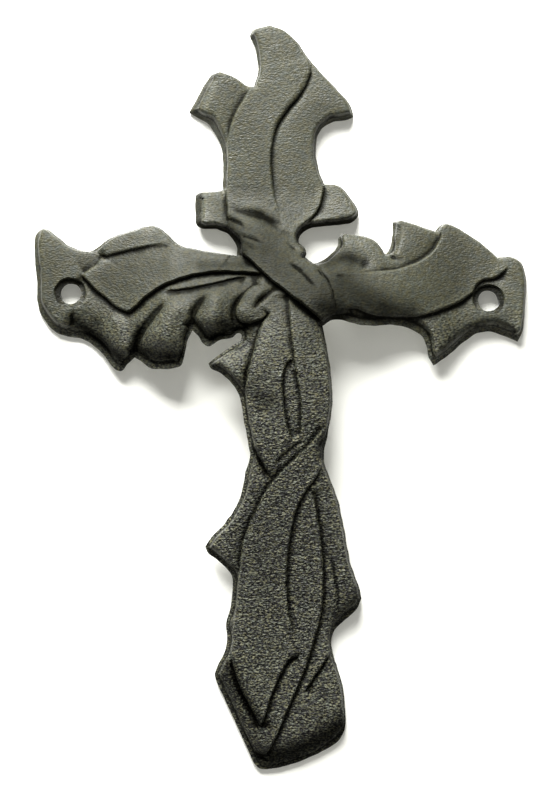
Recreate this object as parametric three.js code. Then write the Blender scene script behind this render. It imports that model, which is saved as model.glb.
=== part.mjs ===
// A cast iron wall cross, made in one pouring and hung by two screws through the ends of its arms.
// It is drawn as leaves and drapery wound round a cross: overlapping leaves run down the stem,
// a cloth band is knotted over the crossing, and its loose folds hang under the left arm.
// The four ends lie flat on the wall, and the middle bows out from it.
// Millimetres. X is to the right seen from the front, Z is up, the front faces -Y and the wall is y = 0.
// The origin lies on the wall, midway between the two screw holes.
import * as THREE from "three";

// Overall sizes.
const WIDTH = 134.5;
const HEIGHT = 203;

// The two screw holes, each in a shallow dish that is deepest above its hole.
const HOLE_INSET = 10.4;
const HOLE_DIAMETER = 5.8;
const DISH_WIDTH = 1.6;
const DISH_WALL = 0.5;
const DISH_DEPTH = 0.7;
const DISH_TILT = 0.6;

// The bow of the plate: how far its back stands off the wall at most, how high up that is, and the flat
// pads that stay on the wall around each hole and at the top and the foot.
const BOW = 13;
const BOW_Z = -14;
const HOLE_PAD = 5;
const TOP_PAD = 44;
const FOOT_PAD = 33;

// The cast edge, seen in section from the silhouette inwards: a thin edge, a sloping wall, a rounding
// and the face, which is crowned towards its middle. The wall slopes most on the arms and tabs.
const EDGE_THICKNESS = 1.2;
const WALL_WIDTH = 0.35;
const WALL_DRAFT_BELOW = 0.95;
const WALL_DRAFT_LEFT = 1.15;
const WALL_DRAFT_RIGHT = 0.35;
const WALL_DRAFT_ARMS = 1.2;
const ARM_START = 12;
const ARM_BLEND = 8;
const WALL_DRAFT_TABS = 1.5;
const LEFT_SHARE_ABOVE = 0.4;
const TAB_START = 14;
const TAB_BLEND = 4;
const ROUNDING_WIDTH = 0.75;
const ROUNDING_DROP = 0.35;
const FACE_THICKNESS = 5;
const CROWN = 0.7;
const CROWN_REACH = 6;
const LEAST_THICKNESS = 2.2;

// How the edge of an overlapping leaf is carved: the face rises towards it and drops off it.
const STEP_HALF_WIDTH = 0.4;
const HIGH_SIDE_REACH = 7;
const LOW_SIDE_REACH = 3;
const GROOVE_WIDTH = 0.75;

// Fineness of the facets.
const OUTLINE_STEP = 1.8;
const NEAREST_ROW = 0.54;
const HOLE_SIDES = 24;
const CREASE_STEP = 2.2;
const CREASE_OFFSET = 0.45;
const FRONT_GRID = 2.7;
const BACK_GRID = 7;

// The silhouette, clockwise from the tip of the top hook. Each stretch is a smooth curve through its
// points and ends in a corner at the first point of the next stretch.
const SILHOUETTE = [
  // top hook and the spur on its right
  [[-9.2, 71.4], [-8.2, 73.1], [-4, 74.1], [0, 73.1], [3.2, 70.6], [7.3, 65.2], [13, 59.1], [18, 53.8],
    [19.3, 51.6]],
  [[19.4, 49.8], [17.4, 49], [14, 48.4], [11, 46.6], [9.6, 43.5], [9.4, 40], [10, 36]],
  // right tab, neck and knot
  [[11.8, 31.2], [15.2, 31.1], [17.2, 29.8], [20.4, 25.7], [21.3, 23.3], [20.3, 21.3], [17, 20.2],
    [12.5, 19.6], [8.5, 19], [6.1, 17.7], [5.1, 15.8]],
  [[5.2, 14.7], [6.8, 13.3], [7.2, 11.8]],
  [[6.9, 10.9], [9.3, 9.1], [12.5, 10.6], [15.6, 13.9]],
  // leaves along the top of the right arm
  [[15.9, 16.2], [16.9, 17.5], [20, 17.3], [24, 16.6], [26.4, 15.4], [27.8, 13.5], [28.7, 12.3],
    [29.6, 13.1], [30.5, 16.5], [30.8, 18.6]],
  [[30.6, 21.1], [32.6, 21.6], [36, 20.9], [40.8, 19.3]],
  [[42.3, 18.9], [43.4, 20.3], [45, 21], [48, 20.1], [53, 17.2], [57, 14.3]],
  // end of the right arm
  [[59.4, 12.1], [63.4, 12.2], [66, 10.7], [67.3, 7.4], [67.4, 0], [66.6, -8.5]],
  [[65.5, -10.9], [62, -9.5], [58.5, -8.3], [55, -8.6], [51.5, -10.6], [47, -14.6], [43.4, -17.2]],
  [[42.4, -17.8], [41.1, -15.8], [40.2, -12], [38.7, -9.7], [35, -7.8], [30, -7.1], [26, -7.5],
    [21.5, -7.3], [17, -6.2], [14, -6.4]],
  // right side of the stem and the foot
  [[11.8, -7.9], [13, -13.5], [14.3, -21], [14.8, -29], [13.8, -36.5], [12.8, -43.5], [15.2, -50.5],
    [17.1, -55.5], [19, -64], [20.7, -72], [23.4, -79.3]],
  [[23.9, -81.7], [22.6, -84.8], [18.8, -88.4], [16.5, -91], [15.9, -94.5], [17, -99], [19, -105],
    [20, -112], [20, -117.5], [18.2, -121], [14, -123.8], [7, -127], [0, -128.8], [-3.2, -128.8]],
  // left side of the stem, upwards
  [[-4.5, -127.6], [-7.5, -121.5], [-11.5, -113], [-15.3, -105.2]],
  [[-15.9, -103.2], [-14.8, -100.2], [-13.4, -97.6], [-12.6, -93], [-13, -89.2], [-11.8, -85],
    [-11.3, -79], [-11.5, -76], [-13, -74], [-16, -71.5], [-18.2, -69.8]],
  [[-18.9, -68.2], [-17.5, -65.9], [-13.8, -61.8], [-10.8, -57.2], [-9.2, -53], [-8.3, -48],
    [-7.1, -43.2], [-7.7, -39], [-9, -33], [-10.2, -27], [-12.7, -23.2], [-15.5, -21], [-18, -19.8]],
  [[-18.7, -18.4], [-16, -16.3], [-12, -13.4]],
  [[-10, -12.2], [-10, -10.6], [-10.9, -10.2], [-12.4, -11.5], [-15.5, -12.1], [-17.3, -13.3],
    [-18.9, -13.9], [-20.2, -13.1], [-21.6, -11]],
  // folds under the left arm
  [[-23.1, -9.6], [-24.4, -12.3], [-25.2, -16.5], [-26.3, -19.3], [-28.5, -19.9], [-34.6, -19.9],
    [-37, -18]],
  [[-39, -17.1], [-41, -18.9], [-42.6, -20.8], [-44.4, -20.3], [-48.5, -15.6], [-53, -12.4],
    [-57.5, -11.5], [-61, -10.4], [-64, -7.2], [-65.8, -3.4], [-66.2, 3], [-67.1, 13.2], [-66.5, 16.5],
    [-64.6, 17.8], [-62.3, 16.8], [-58, 13.5], [-54, 11.9], [-51.4, 11.9]],
  // top of the left arm
  [[-50, 12.8], [-46, 15.7], [-40, 17.8], [-36.5, 18.8], [-33.6, 18.8], [-31, 17.1], [-27.6, 14],
    [-24, 12.9], [-17, 11.6]],
  // neck, left tabs and the left side of the hook
  [[-11.6, 10.9], [-11.7, 13.4], [-14, 16.8], [-17, 18.2], [-21, 18.4], [-22.8, 19.4], [-23.2, 23]],
  [[-23.3, 27.4], [-22.3, 28.3], [-19, 28.6]],
  [[-15.9, 29.2], [-15.9, 36], [-16.5, 40.8], [-18.6, 45], [-20.3, 47.4], [-23.5, 49.1]],
  [[-25.3, 50.3], [-21, 58.5], [-19.4, 60.7], [-17, 61.3], [-13, 60], [-10, 57.9]],
  [[-7.9, 57.5], [-6.8, 61.5], [-7, 65], [-8, 69]],
];

// Edges of overlapping leaves. The higher side is on the left of the direction of travel. rise and drop
// are the heights either side of the edge, and fade is how gently each end runs out.
const EDGES = [
  // hook and tabs
  { rise: 0.3, drop: 0.7, fade: [20, 3], path: [[0.9, 19.4], [-0.4, 23.1], [-1.8, 27.5], [-2.6, 33.2],
    [-2.9, 38.2], [-2.5, 42], [-1.1, 46.5], [1.6, 50.9], [5.1, 55.4], [7, 59.2], [7.4, 62.7],
    [6.7, 66.5]] },
  { rise: 0.25, drop: 0.8, fade: [0, 1], path: [[-8.6, 57.6], [-10.4, 53.9], [-12.2, 50.7],
    [-13.8, 46.9], [-14.5, 43.1], [-14.6, 38], [-14.7, 33], [-15, 29.2], [-14.6, 25.4], [-14.1, 21],
    [-13.8, 17.6]] },
  { rise: 0.3, drop: 1.1, fade: [1, 0], path: [[4.1, 16.3], [5.3, 18.8], [8.1, 21.1], [10.3, 24],
    [11.4, 27.8], [11.9, 32]] },
  // knotted band over the crossing
  { rise: 0.7, drop: 1.9, fade: [1, 0], path: [[-12.2, 12.8], [-9.8, 10.9], [-7, 8.5], [-4.3, 6],
    [-1.7, 3.7], [2.1, 0.8], [4.9, -1.3], [7.8, -3.6], [11.6, -6.5], [12.9, -7.7]] },
  { rise: 0.5, drop: 0.8, fade: [0, 1], path: [[15.3, -7], [14.9, -3], [13.6, 2.4], [11.8, 5.8],
    [9, 9.4]] },
  // right arm
  { rise: 0.4, drop: 1.3, fade: [2, 4], path: [[17.2, -3.2], [21, -3.1], [24, -4.2], [28, -5], [34, -5],
    [38.5, -4.5], [42, -3.5], [46, -1.9], [50, 0], [52.5, 2], [53.4, 3.8], [55.6, 5.6], [58.5, 6.1],
    [60.5, 7.5], [62.6, 9.6]] },
  { rise: 0.3, drop: 1, fade: [0, 16], path: [[43.6, 21], [43.7, 17.5], [42, 13.9], [39.7, 11.5],
    [36.5, 9.6], [32.6, 8.2], [28.6, 7.3], [23.9, 6.9], [19.9, 6.4], [15, 6.2]] },
  // left arm
  { rise: 0.5, drop: 1.4, fade: [2, 2], path: [[-54.2, 5.4], [-52.1, 3.4], [-50.2, 1.5], [-47.3, -0.9],
    [-43.8, -3.6], [-40.7, -4.7], [-38.7, -3.4], [-35.4, -0.4], [-31.8, 2], [-28, 3.7], [-23, 5.2],
    [-17, 6.1], [-10, 6.1], [-4, 5.7]] },
  { rise: 0.2, drop: 0.9, fade: [3, 2], path: [[-31.5, 0.9], [-27, 1.2], [-22, 2], [-17, 3.2],
    [-12, 4.5], [-8.5, 5.1]] },
  { rise: 0.3, drop: 0.6, fade: [0, 10], path: [[-50.8, 13.6], [-48.2, 10.4], [-44.8, 11.1],
    [-41.6, 11.8], [-36.9, 12.8], [-33, 13.6], [-28, 13.9]] },
  { rise: 0.3, drop: 0.5, fade: [1, 1], path: [[-48.2, 10.4], [-49.6, 8.2], [-52, 6.3], [-53.6, 5.2]] },
  { rise: 0.4, drop: 1.2, fade: [2, 3], path: [[-4.8, 3.4], [-7.1, 2.3], [-8.7, 0.9], [-10.4, -1.5],
    [-11.4, -3.9], [-11.3, -5.9], [-10, -7.3], [-7.9, -7.6], [-5.3, -6.9], [-3, -5.4], [-1.8, -4]] },
  // upper stem
  { rise: 0.4, drop: 1.2, fade: [1, 3], path: [[-2, -4.4], [-4.2, -7.5], [-5.6, -10.9], [-6.6, -15.2],
    [-7.7, -19.4], [-8.4, -23.6], [-8.4, -27.8], [-7.6, -33.3], [-6.4, -39], [-4.8, -42.9],
    [-2.9, -46.4], [-1.2, -49.2]] },
  { rise: 0.2, drop: 0.9, fade: [1, 2], path: [[2.4, 0.6], [3, -6.6], [3.6, -11.4], [4.4, -16.8],
    [5.1, -21.6], [5.9, -25.8], [6.4, -29.4], [6.5, -33], [6.4, -38]] },
  { rise: 0.2, drop: 0.9, fade: [2, 1], path: [[4.6, -39.5], [3.5, -37], [2.5, -33.7], [1.8, -29.5],
    [1.4, -25.9], [1.4, -22.3], [1.9, -19.2], [2.9, -17.5], [4.3, -17.4]] },
  // lower stem
  { rise: 0.5, drop: 1.1, fade: [3, 2], path: [[13.6, -34.4], [12, -35.9], [8.4, -40.2], [5.2, -43.5],
    [2.2, -46.4], [-1.2, -50.4], [-3.6, -54.3], [-5.4, -58.3], [-7.4, -62.8], [-8.8, -68], [-9.4, -74],
    [-10, -80], [-10.6, -86], [-11.1, -92], [-11.2, -97.6], [-10.5, -101.5], [-9.3, -105.4],
    [-6.9, -110], [-4.5, -114.3], [-3, -117.2]] },
  { rise: 0.4, drop: 1.1, fade: [1, 1], path: [[-3, -117.2], [-1.3, -112.2], [-0.2, -108.3],
    [1.3, -104.5], [2.9, -101], [4.6, -98.6], [7.1, -97.2]] },
  { rise: 0.3, drop: 0.9, fade: [14, 0], path: [[7.4, -95.4], [6.6, -93.6], [5, -89.8], [4.1, -86],
    [3.6, -81.4], [3.3, -76.8], [3.4, -71.4], [3.9, -66.1], [4.8, -60.7], [6.1, -56], [7.5, -53],
    [9.1, -50.7], [11, -48], [12.5, -44.4]] },
  { rise: 0.3, drop: 1, fade: [2, 2], path: [[-2, -125], [-0.3, -122.6], [1.7, -118.6], [3.5, -114],
    [5.4, -109.2], [7.6, -104], [9.5, -98.8], [11, -93.6], [12.4, -88], [13.2, -82], [13.3, -76.6],
    [13, -70.5], [12.3, -65.1], [11.4, -59.8], [10.6, -55.4], [9.4, -51.4]] },
  { rise: 0.3, drop: 1.1, fade: [3, 0], path: [[8.2, -108.2], [11, -103.6], [13.6, -99.7],
    [16, -95.4]] },
];

// Grooves, with their depths from one end to the other.
const GROOVES = [
  { depth: [0, 1.2, 2, 2.4], width: 1.5, path: [[-28.5, -0.4], [-32, -3.8], [-35.5, -8.2], [-38, -12.4],
    [-39.1, -17.6]] },
  { depth: [0, 1.2, 2, 2.4], width: 1.4, path: [[-18.8, 0.2], [-21.3, -2.4], [-22.8, -5.6],
    [-23.1, -10]] },
  { depth: [0, 1, 1.4, 1.3, 0.9, 0], width: 1.2, path: [[-8.9, 0.4], [-11, -1.8], [-12.1, -4.2],
    [-12, -6.4], [-10.6, -8.2], [-8, -8.6]] },
  { depth: [0.3, 0.9, 1.3, 0], width: 1, path: [[-0.5, 2.1], [-3.1, 0.2], [-5.4, -2], [-6.9, -4.1]] },
  { depth: [0.3, 0.5, 0.9, 1, 0.6, 0], width: 1.8, path: [[-13.8, 23.6], [-10, 22.8], [-6.7, 22.2],
    [-4.4, 21.3], [-2, 20.1], [0.2, 18.7]] },
  { depth: [0.9, 0.9, 0.5, 0], width: 0.9, path: [[-13.7, 20.8], [-12.1, 20.1], [-10.5, 19.3],
    [-9.6, 17.8]] },
  { depth: [0.5, 0.8, 0.4, 0], width: 0.9, path: [[-11.4, 16.3], [-9, 15.6], [-7.1, 15.1],
    [-3.4, 13.6]] },
  { depth: [0.9, 0.9, 0.4, 0], width: 1, path: [[-11.6, 15.2], [-8.7, 13.4], [-5.6, 12]] },
  { depth: [0, 0.7, 0.6, 0.5, 0], width: 0.9, path: [[2.2, 8.9], [4.3, 7.7], [6.2, 6], [8.4, 3.6],
    [10.4, 2]] },
  { depth: [0, 0.6, 0.4, 0], width: 0.8, path: [[9, 8.4], [11.6, 5.6], [13.7, 3.2]] },
  { depth: [0, 0.4, 0], width: 1, path: [[1.6, 14.8], [3.7, 13], [5.9, 11.1]] },
  { depth: [0, 1.1, 1.3, 1], width: 1.2, path: [[1.6, 0.2], [4.4, -1.9], [7.3, -4.2], [11.1, -6.9]] },
  { depth: [0.7, 0.6, 0], width: 0.9, path: [[28.8, 12.4], [30.5, 11], [34, 10.5]] },
  { depth: [0.9, 0.8], width: 1, path: [[-50.2, 12.9], [-47.9, 10.4]] },
  { depth: [0, 0.6, 0.8, 0.4, 0.4, 1.1, 1.2, 0], width: 1, path: [[-6, -11], [-7.8, -18], [-8.7, -25],
    [-8, -32.6], [-6.8, -39], [-4.6, -44], [-2.2, -48.2]] },
  { depth: [0.6, 1.6, 0.8], width: 1.6, path: [[13.4, -36.8], [12.4, -39.6], [12.5, -43]] },
  { depth: [0.6, 0.8, 0.8], width: 0.9, path: [[32.4, 18.9], [31.7, 15.3], [30.6, 11.3]] },
  { depth: [0, 0.4, 0.4, 0], width: 0.8, path: [[9.4, -36.2], [6.6, -38.8], [1.7, -43], [-2, -47.6]] },
  { depth: [0.3, 1.2, 1.5, 1], width: 1.5, path: [[-11.4, -100.2], [-9.9, -105.2], [-7.4, -110.2],
    [-4, -116.4]] },
  { depth: [0.4, 0.9, 0.5], width: 1.2, path: [[4, -99.6], [5.2, -98], [7.2, -97]] },
  { depth: [0, 0.5, 0.5, 0], width: 0.9, path: [[13.7, -68.4], [15.5, -71.4], [16.7, -76.6],
    [17.4, -82], [17.2, -87.5]] },
  { depth: [0, 0.5, 0.6, 0.5, 0.3], width: 0.9, path: [[-2.8, 41], [-1.1, 46.5], [1.6, 50.9],
    [5.1, 55.4], [7.1, 60]] },
  { depth: [0, 0.8, 0.8], width: 0.8, path: [[-55.2, -4.6], [-56.4, -6.2], [-56.2, -8.2]] },
];

// Broad swellings, and hollows where the height is negative.
const SWELLS = [
  // knot: the band stands high over the crossing
  { path: [[-7, 14.5], [0, 9.5], [7, 3.5], [11.5, -1.5]], height: 2.2, width: 7 },
  // folds of the cloth under the left arm, which roll down at their lower ends
  { path: [[-28.5, -4], [-31.5, -11]], height: 2, width: 3.6 },
  { path: [[-26.5, -20.5], [-36, -20.5]], height: -3.4, width: 5.2 },
  { path: [[-17, -1.5], [-18, -6.5]], height: 1.8, width: 3.2 },
  { path: [[-11, -11.5], [-20, -14]], height: -3.6, width: 4.4 },
  { path: [[-5, 0.5], [-8.5, -4.5]], height: 0.7, width: 2.6 },
  { path: [[-44, -8], [-42.5, -14]], height: 1.2, width: 3 },
  { path: [[-43.5, -20], [-49, -13.6], [-56, -10.4]], height: -1.8, width: 2.8 },
  { path: [[-54, -7], [-50, -8]], height: -0.6, width: 2.4 },
  // right arm: its band rolls down at the lower edge, and the first leaf is hollow at its root
  { path: [[17, -6], [26, -7], [35, -7.5]], height: -2.6, width: 5 },
  { path: [[13, 9.9], [17.6, 11], [22.5, 9.4]], height: -0.9, width: 2.4 },
  // stem and foot
  { path: [[-7, -25], [-5, -30]], height: -0.5, width: 3.5 },
  { path: [[23, -86], [18, -89]], height: -1.3, width: 3.6 },
  { path: [[-16, -106], [-10.5, -117], [-5, -127]], height: -2.6, width: 3.2 },
  { path: [[-3, -129], [8, -126.6], [19, -121]], height: -2.9, width: 4.6 },
];

const drawn = SILHOUETTE.flat();
const DRAWN_WIDTH = Math.max(...drawn.map((p) => p[0])) - Math.min(...drawn.map((p) => p[0]));
const DRAWN_HEIGHT = Math.max(...drawn.map((p) => p[1])) - Math.min(...drawn.map((p) => p[1]));
const DRAWN_MIDDLE = (Math.max(...drawn.map((p) => p[0])) + Math.min(...drawn.map((p) => p[0]))) / 2;
const DRAWN_TOP = Math.max(...drawn.map((p) => p[1]));

// A drawn point at the cross's own width and height.
function sized([x, z]) {
  return [((x - DRAWN_MIDDLE) * WIDTH) / DRAWN_WIDTH, (z * HEIGHT) / DRAWN_HEIGHT];
}

const HOLE_X = WIDTH / 2 - HOLE_INSET;
const HOLE_RADIUS = HOLE_DIAMETER / 2;
const TOP_Z = (DRAWN_TOP * HEIGHT) / DRAWN_HEIGHT;
const FOOT_Z = TOP_Z - HEIGHT;

// A smooth curve through drawn points, as points about one step apart.
function curveThrough(points, step) {
  const knots = points.map((p) => new THREE.Vector3(p[0], 0, p[1]));
  const curve = new THREE.CatmullRomCurve3(knots, false, "centripetal");
  const spans = Math.max(1, Math.round(curve.getLength() / step));
  return curve.getSpacedPoints(spans).map((p) => [p.x, p.z]);
}

// The silhouette as one closed ring of points.
function silhouetteRing() {
  const ring = [];
  SILHOUETTE.forEach((stretch, i) => {
    const next = SILHOUETTE[(i + 1) % SILHOUETTE.length][0];
    const points = curveThrough([...stretch, next].map(sized), OUTLINE_STEP);
    ring.push(...points.slice(0, -1));
  });
  return ring;
}

// A ring of points round a screw hole, whose flats just touch the circle.
function ringAround(x, radius) {
  const corner = radius / Math.cos(Math.PI / HOLE_SIDES);
  const ring = [];
  for (let i = 0; i < HOLE_SIDES; i++) {
    const turn = (2 * Math.PI * i) / HOLE_SIDES;
    ring.push([x + corner * Math.cos(turn), corner * Math.sin(turn)]);
  }
  return ring;
}

function isInside(ring, x, z) {
  let inside = false;
  for (let i = 0, j = ring.length - 1; i < ring.length; j = i++) {
    const [xi, zi] = ring[i];
    const [xj, zj] = ring[j];
    if (zi > z !== zj > z && x < ((xj - xi) * (z - zi)) / (zj - zi) + xi) inside = !inside;
  }
  return inside;
}

// A polyline with its running length, ready for nearest().
function track(points, closed = false) {
  const ends = closed ? [...points, points[0]] : points;
  const lengths = [0];
  for (let i = 1; i < ends.length; i++)
    lengths.push(lengths[i - 1] + Math.hypot(ends[i][0] - ends[i - 1][0], ends[i][1] - ends[i - 1][1]));
  return { ends, lengths, total: lengths[lengths.length - 1] };
}

// The nearest place on a track: its distance, how far along it lies, and the track's left normal there.
function nearest({ ends, lengths }, x, z) {
  let best = { distance: Infinity };
  for (let i = 1; i < ends.length; i++) {
    const [ax, az] = ends[i - 1];
    const span = lengths[i] - lengths[i - 1];
    const tx = (ends[i][0] - ax) / span;
    const tz = (ends[i][1] - az) / span;
    const along = THREE.MathUtils.clamp((x - ax) * tx + (z - az) * tz, 0, span);
    const dx = x - ax - along * tx;
    const dz = z - az - along * tz;
    const distance = Math.hypot(dx, dz);
    if (distance < best.distance) {
      const side = dx * -tz + dz * tx >= 0 ? 1 : -1;
      best = { distance, along: lengths[i - 1] + along, side, normal: [-tz, tx] };
    }
  }
  return best;
}

const OUTLINE = silhouetteRing();
const HOLES = [-HOLE_X, HOLE_X].map((x) => ringAround(x, HOLE_RADIUS));
const OUTLINE_TRACK = track(OUTLINE, true);

function carved(feature) {
  return { ...feature, track: track(curveThrough(feature.path.map(sized), 1)) };
}

const CARVED_EDGES = EDGES.map(carved);
const CARVED_GROOVES = GROOVES.map(carved);
const CARVED_SWELLS = SWELLS.map(carved);

function bell(distance, width) {
  return Math.exp(-((distance / width) ** 2));
}

function ramp(share) {
  return THREE.MathUtils.smoothstep(share, 0, 1);
}

// Height of the back above the wall: nothing at the four pads, most just below the crossing.
function backHeight(x, z) {
  const reachX = HOLE_X - HOLE_PAD;
  const reachZ = z > BOW_Z ? TOP_Z - TOP_PAD - BOW_Z : BOW_Z - FOOT_Z - FOOT_PAD;
  const shareX = Math.min(1, Math.abs(x) / reachX);
  const shareZ = Math.min(1, Math.abs(z - BOW_Z) / reachZ);
  return BOW * (1 - shareX ** 3) ** 2 * (1 - shareZ ** 2) ** 2;
}

// One leaf edge: raised on its high side, cut down on its low side.
function edgeHeight(edge, x, z) {
  const near = nearest(edge.track, x, z);
  const [fadeIn, fadeOut] = edge.fade;
  const starting = fadeIn ? ramp(near.along / fadeIn) : 1;
  const ending = fadeOut ? ramp((edge.track.total - near.along) / fadeOut) : 1;
  const across = near.side * near.distance;
  const blend = THREE.MathUtils.smoothstep(across, -STEP_HALF_WIDTH, STEP_HALF_WIDTH);
  const high = edge.rise * Math.exp(-Math.max(0, across) / HIGH_SIDE_REACH);
  const low = -edge.drop * Math.exp(Math.min(0, across) / LOW_SIDE_REACH);
  return starting * ending * (blend * high + (1 - blend) * low);
}

function grooveHeight(groove, x, z) {
  const near = nearest(groove.track, x, z);
  const place = (near.along / groove.track.total) * (groove.depth.length - 1);
  const start = Math.min(Math.floor(place), groove.depth.length - 2);
  const depth = THREE.MathUtils.lerp(groove.depth[start], groove.depth[start + 1], place - start);
  return -depth * bell(near.distance, groove.width * GROOVE_WIDTH);
}

function swellHeight(swell, x, z) {
  return swell.height * bell(nearest(swell.track, x, z).distance, swell.width);
}

// How far the edge's wall slopes in: least where it faces up, most under the arms and on the tabs.
function wallWidth([x, z], [outwardX, outwardZ]) {
  const onTabs = ramp((z - TAB_START) / TAB_BLEND);
  const [left, right, down] = [Math.max(0, -outwardX), Math.max(0, outwardX), Math.max(0, -outwardZ)];
  const tabDraft = WALL_DRAFT_TABS * onTabs * ramp((-x - ARM_START) / ARM_BLEND) * left ** 2;
  const armDraft = WALL_DRAFT_ARMS * (1 - onTabs) * ramp((Math.abs(x) - ARM_START) / ARM_BLEND) * down;
  const leftDraft = WALL_DRAFT_LEFT * (1 - (1 - LEFT_SHARE_ABOVE) * onTabs) * left;
  const sideDraft = WALL_DRAFT_BELOW * down + WALL_DRAFT_RIGHT * right + leftDraft;
  return WALL_WIDTH + sideDraft + tabDraft + armDraft;
}

// Thickness from the back to the carved front.
function thickness(x, z) {
  const edge = nearest(OUTLINE_TRACK, x, z);
  const wall = wallWidth([x, z], edge.normal);
  let face = FACE_THICKNESS + CROWN * (1 - Math.exp(-edge.distance / CROWN_REACH));
  for (const e of CARVED_EDGES) face += edgeHeight(e, x, z);
  for (const g of CARVED_GROOVES) face += grooveHeight(g, x, z);
  for (const s of CARVED_SWELLS) face += swellHeight(s, x, z);
  const fromCentre = Math.hypot(Math.abs(x) - HOLE_X, z);
  const dish = DISH_DEPTH + (DISH_TILT * z) / fromCentre;
  face -= dish * THREE.MathUtils.clamp((HOLE_RADIUS + DISH_WIDTH - fromCentre) / DISH_WALL, 0, 1);
  face = Math.max(face, LEAST_THICKNESS);
  if (edge.distance < wall)
    return EDGE_THICKNESS + (face - ROUNDING_DROP - EDGE_THICKNESS) * (edge.distance / wall);
  const rounded = THREE.MathUtils.clamp((edge.distance - wall) / ROUNDING_WIDTH, 0, 1);
  return face - ROUNDING_DROP * (1 - rounded) ** 2;
}

// Delaunay triangulation of the points, by inserting them one at a time.
function delaunay(points) {
  const far = 10 * (WIDTH + HEIGHT);
  const all = [...points, [-far, -far], [far, -far], [0, far]];
  const n = points.length;
  function circled(a, b, c) {
    const [ax, az] = all[a];
    const [bx, bz] = [all[b][0] - ax, all[b][1] - az];
    const [cx, cz] = [all[c][0] - ax, all[c][1] - az];
    const d = 2 * (bx * cz - bz * cx);
    const ux = (cz * (bx * bx + bz * bz) - bz * (cx * cx + cz * cz)) / d;
    const uz = (bx * (cx * cx + cz * cz) - cx * (bx * bx + bz * bz)) / d;
    return { corners: [a, b, c], x: ax + ux, z: az + uz, r2: ux * ux + uz * uz };
  }
  let triangles = [circled(n, n + 1, n + 2)];
  for (let i = 0; i < n; i++) {
    const [x, z] = all[i];
    const kept = [];
    const rim = new Map();
    for (const t of triangles) {
      if ((x - t.x) ** 2 + (z - t.z) ** 2 >= t.r2) {
        kept.push(t);
        continue;
      }
      for (let k = 0; k < 3; k++) {
        const [a, b] = [t.corners[k], t.corners[(k + 1) % 3]];
        if (!rim.delete(b + "," + a)) rim.set(a + "," + b, [a, b]);
      }
    }
    for (const [a, b] of rim.values()) kept.push(circled(a, b, i));
    triangles = kept;
  }
  return triangles.map((t) => t.corners).filter((t) => t.every((v) => v < n));
}

// Splits boundary edges until no other boundary point lies in the circle on an edge as its diameter,
// so that every edge of the rings is also an edge of the triangulation.
function settled(rings) {
  const made = rings.map((ring) => [...ring]);
  let changed = true;
  while (changed) {
    changed = false;
    const all = made.flat();
    for (const ring of made)
      for (let i = 0; i < ring.length; i++) {
        const [a, b] = [ring[i], ring[(i + 1) % ring.length]];
        const middle = [(a[0] + b[0]) / 2, (a[1] + b[1]) / 2];
        const radius = Math.hypot(b[0] - a[0], b[1] - a[1]) / 2;
        const crowded = all.some(
          (p) => p !== a && p !== b && Math.hypot(p[0] - middle[0], p[1] - middle[1]) < radius * 0.999,
        );
        if (!crowded) continue;
        ring.splice(i + 1, 0, middle);
        changed = true;
        i++;
      }
  }
  return made;
}

const RINGS = settled([OUTLINE, ...HOLES]);
const BOUNDARY = RINGS.flat();
const BOUNDARY_EDGES = RINGS.flatMap((ring) => ring.map((p, i) => [p, ring[(i + 1) % ring.length]]));

function onMetal(x, z) {
  return isInside(OUTLINE, x, z) && !HOLES.some((ring) => isInside(ring, x, z));
}

// Adds the candidates that lie on the metal, clear of the boundary edges and not too near one another.
function addClear(points, candidates, gap) {
  for (const [x, z] of candidates) {
    if (!onMetal(x, z)) continue;
    if (points.some((p) => Math.hypot(p[0] - x, p[1] - z) < gap)) continue;
    const crowds = BOUNDARY_EDGES.some(([a, b]) => {
      const radius = Math.hypot(b[0] - a[0], b[1] - a[1]) / 2;
      return Math.hypot((a[0] + b[0]) / 2 - x, (a[1] + b[1]) / 2 - z) < radius * 1.02;
    });
    if (!crowds) points.push([x, z]);
  }
}

// A staggered grid over the whole cross, nudged so that no four points share a circle.
function grid(step) {
  const points = [];
  const rowHeight = (step * Math.sqrt(3)) / 2;
  for (let row = 0; FOOT_Z + row * rowHeight < TOP_Z; row++)
    for (let column = 0; column * step < WIDTH; column++) {
      const nudge = 0.05 * step * Math.sin(12.9 * row + 78.2 * column);
      const x = -WIDTH / 2 + (column + (row % 2) / 2) * step + nudge;
      points.push([x, FOOT_Z + row * rowHeight + nudge]);
    }
  return points;
}

// Points either side of a track, a set distance off it.
function besideTrack({ ends }, offset) {
  const points = [];
  for (let i = 1; i < ends.length; i++) {
    const [ax, az] = ends[i - 1];
    const [bx, bz] = ends[i];
    const length = Math.hypot(bx - ax, bz - az);
    const [nx, nz] = [-(bz - az) / length, (bx - ax) / length];
    const [x, z] = [(ax + bx) / 2, (az + bz) / 2];
    points.push([x + nx * offset, z + nz * offset], [x - nx * offset, z - nz * offset]);
  }
  return points;
}

// Points just inside the silhouette, a set distance in from the top of its wall.
function insideWall(extra) {
  const points = [];
  for (let i = 1; i < OUTLINE_TRACK.ends.length; i++) {
    const [ax, az] = OUTLINE_TRACK.ends[i - 1];
    const [bx, bz] = OUTLINE_TRACK.ends[i];
    const length = Math.hypot(bx - ax, bz - az);
    const outward = [-(bz - az) / length, (bx - ax) / length];
    const middle = [(ax + bx) / 2, (az + bz) / 2];
    const offset = Math.max(wallWidth(middle, outward), NEAREST_ROW * OUTLINE_STEP) + extra;
    points.push([middle[0] - outward[0] * offset, middle[1] - outward[1] * offset]);
  }
  return points;
}

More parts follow.
